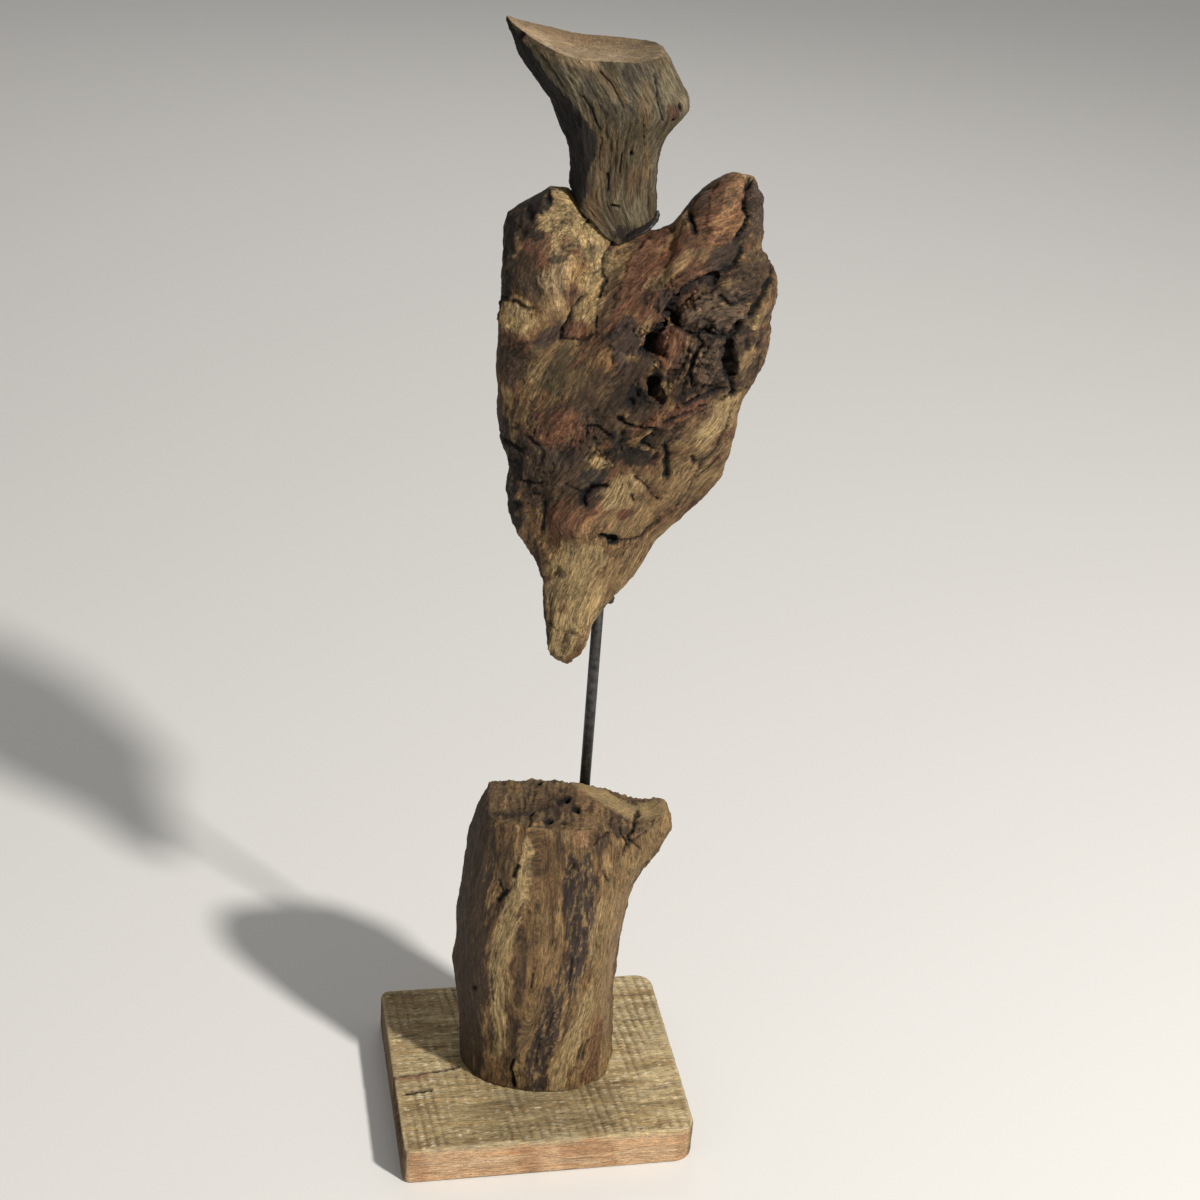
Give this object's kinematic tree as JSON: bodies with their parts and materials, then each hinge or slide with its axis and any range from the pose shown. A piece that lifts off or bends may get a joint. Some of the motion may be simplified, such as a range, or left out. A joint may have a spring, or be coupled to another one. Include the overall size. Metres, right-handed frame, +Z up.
{
  "type": "abstract wood sculpture",
  "caption": "Free-form sculpture of weathered root wood: a forked head seated in the notch of a heart-shaped slab, held by a steel rod above an upright log on a sawn board.",
  "frame": {"origin": "centre of the board's underside", "axes": "+Z up along the rod, -Y to the front where the board's long front edge is, +X to the viewer's right"},
  "size_m": [0.1813, 0.14, 0.6408],
  "materials": {
    "sawn_board": "pale rough-sawn softwood, unfinished, with saw marks and worn edges",
    "log_wood": "weathered brown log, bark gone, streaked with yellow and dark grey, waxed matt",
    "root_wood": "weathered root wood, red-brown and tan with charred hollows, matt",
    "stump_wood": "silvered grey-olive driftwood with a pale tan cut top, matt",
    "raw_steel": "dark grey mill-scaled round bar with light specks",
    "black_putty": "black filling adhesive, slightly glossy"
  },
  "bodies": {
    "root": {"base_board": "sawn_board", "trunk": "log_wood", "steel_rod": "raw_steel", "torso": "root_wood", "head": "stump_wood", "joint_putty": "black_putty"}
  },
  "joints": []
}
